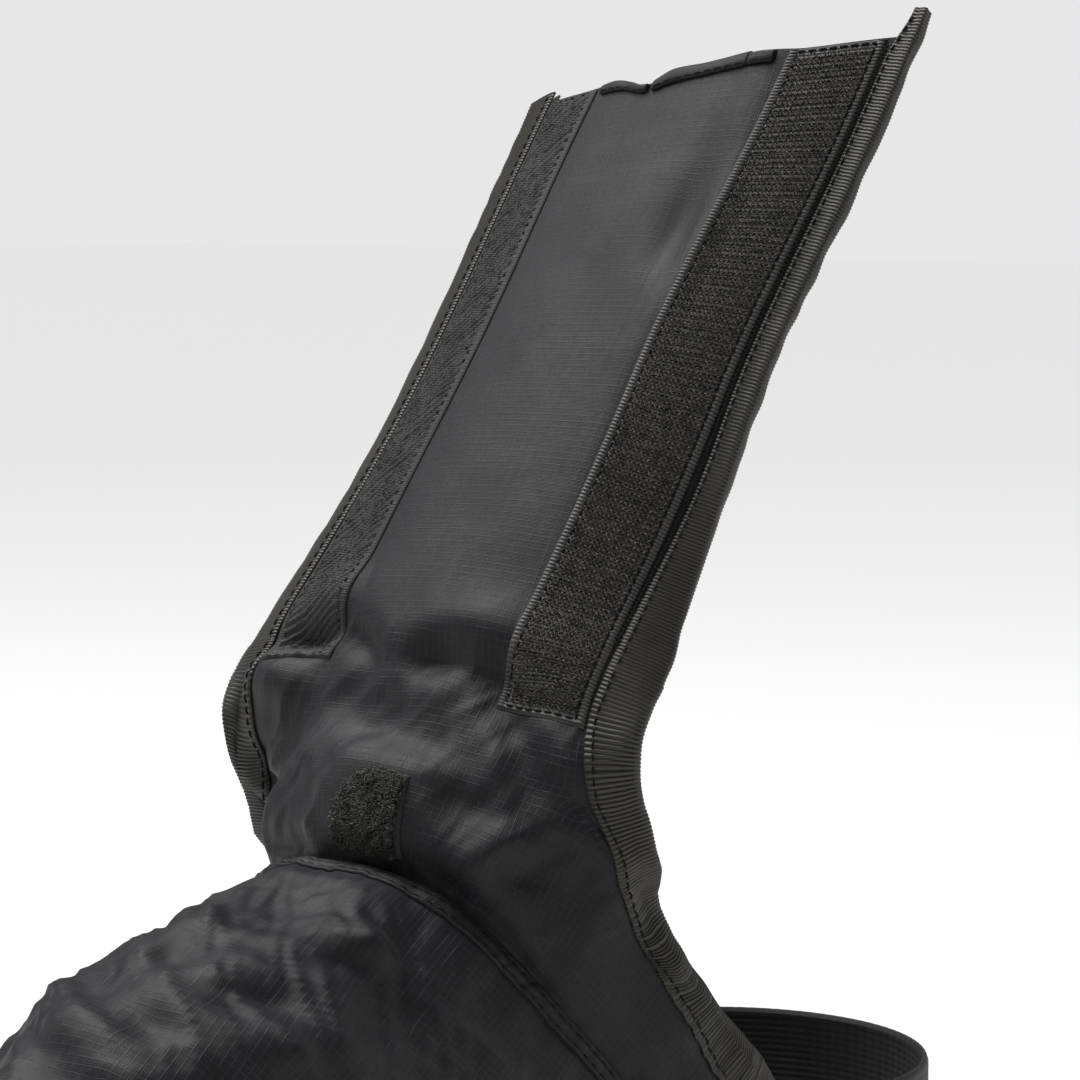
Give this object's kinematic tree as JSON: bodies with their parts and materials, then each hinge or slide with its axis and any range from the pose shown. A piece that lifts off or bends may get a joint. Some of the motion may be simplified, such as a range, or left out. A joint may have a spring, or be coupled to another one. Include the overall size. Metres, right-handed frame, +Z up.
{
  "type": "boot gaiter",
  "caption": "Spat-style boot gaiter: cloth foot cover with instep seam, leaning shin panel with hook and loop edge tapes, elastic heel strap and underfoot strap with ladder lock.",
  "frame": {"origin": "middle of the underfoot strap, on its underside, on the centre plane of the cover", "axes": "+Z up, toe toward -Y, hook tape on +X, loop tape on -X"},
  "size_m": [0.117, 0.3087, 0.3128],
  "materials": {
    "coated_ripstop": "coated ripstop weave, low sheen",
    "loop_pile": "matte loop pile",
    "hook_pile": "moulded nylon hooks on woven tape",
    "grosgrain": "ribbed grosgrain",
    "ribbed_elastic": "ribbed elastic webbing",
    "nylon_webbing": "woven webbing",
    "moulded_plastic": "satin moulded acetal",
    "thread": "polyester sewing thread"
  },
  "bodies": {
    "foot_cover": {"vamp_panel": "coated_ripstop", "ankle_panel": "coated_ripstop", "instep_seam": "coated_ripstop", "loop_patch": "loop_pile", "hook_side_rear_binding": "grosgrain", "loop_side_rear_binding": "grosgrain", "hem_binding": "grosgrain", "underfoot_strap": "nylon_webbing", "buckle_anchor_tab": "nylon_webbing", "strap_bar_tacks": "thread"},
    "shin": {"shin_panel": "coated_ripstop", "top_hem": "coated_ripstop"},
    "hook_wing": {"hook_edge_cloth": "coated_ripstop", "hook_tape": "hook_pile", "hook_edge_binding": "grosgrain"},
    "loop_wing": {"loop_edge_cloth": "coated_ripstop", "loop_tape": "loop_pile", "loop_edge_binding": "grosgrain"},
    "heel_band": {"heel_strap": "ribbed_elastic"},
    "lock": {"ladder_lock": "moulded_plastic"},
    "tail": {"strap_tail": "nylon_webbing"}
  },
  "joints": [
    {"name": "ankle_fold", "type": "hinge", "parent": "foot_cover", "child": "shin", "pos_m": [0, -0.0503, 0.1716], "axis": [1, 0, 0], "range_deg": [-3, 115]},
    {"name": "hook_wing_fold", "type": "hinge", "parent": "shin", "child": "hook_wing", "pos_m": [0.02225, 0.0003, 0.23586], "axis": [-0.0061, 0.5775, 0.8164], "range_deg": [-25, 55]},
    {"name": "loop_wing_fold", "type": "hinge", "parent": "shin", "child": "loop_wing", "pos_m": [-0.02225, 0.00174, 0.23237], "axis": [-0.0063, -0.6097, -0.7926], "range_deg": [-25, 55]},
    {"name": "heel_strap_swing", "type": "hinge", "parent": "foot_cover", "child": "heel_band", "pos_m": [0, 0.0205, 0.058], "axis": [1, 0, 0], "range_deg": [-20, 40]},
    {"name": "lock_swing", "type": "hinge", "parent": "foot_cover", "child": "lock", "pos_m": [0.0567, 0, 0.05], "axis": [0, -1, 0], "range_deg": [0, 30]},
    {"name": "tail_slide", "type": "slide", "parent": "lock", "child": "tail", "axis": [0, 0, -1], "range_m": [0, 0.008]}
  ]
}
